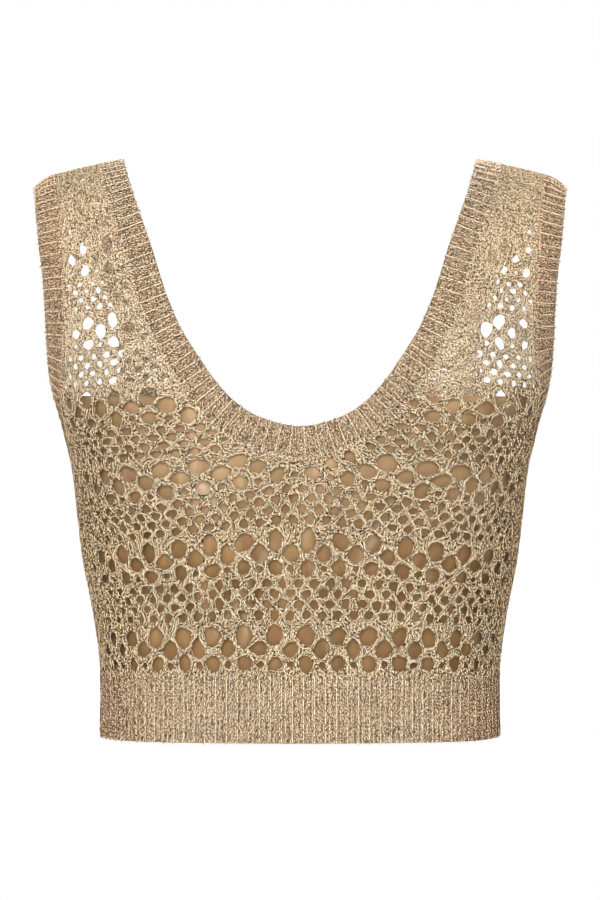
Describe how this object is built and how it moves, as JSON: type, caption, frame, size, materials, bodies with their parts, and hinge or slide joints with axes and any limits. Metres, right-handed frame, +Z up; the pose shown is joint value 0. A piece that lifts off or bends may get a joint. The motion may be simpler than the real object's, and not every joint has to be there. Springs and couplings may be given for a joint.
{
  "type": "knit tank top",
  "caption": "Cropped openwork knit tank top in its worn shape, with ribbed bands at neck, armholes and hem and a smooth lining behind the front.",
  "frame": {"origin": "midway between the two straps, at the height of their undersides at mid strap, where the wearer's shoulders hold the top up", "axes": "+Z up, -Y towards the front, +X to the right as seen from the front"},
  "size_m": [0.3418, 0.1998, 0.3706],
  "materials": {
    "openwork_knit": "matt melange yarn, eyelet net",
    "ribbed_knit": "matt melange yarn, fine rib",
    "lining_jersey": "smooth matt jersey"
  },
  "bodies": {
    "root": {"front_panel": "openwork_knit", "back_panel": "openwork_knit", "neckband_front": "ribbed_knit", "neckband_back": "ribbed_knit", "armband_front_left": "ribbed_knit", "armband_front_right": "ribbed_knit", "armband_back_left": "ribbed_knit", "armband_back_right": "ribbed_knit", "hem_band_front": "ribbed_knit", "hem_band_back": "ribbed_knit", "lining_front": "lining_jersey"}
  },
  "joints": []
}
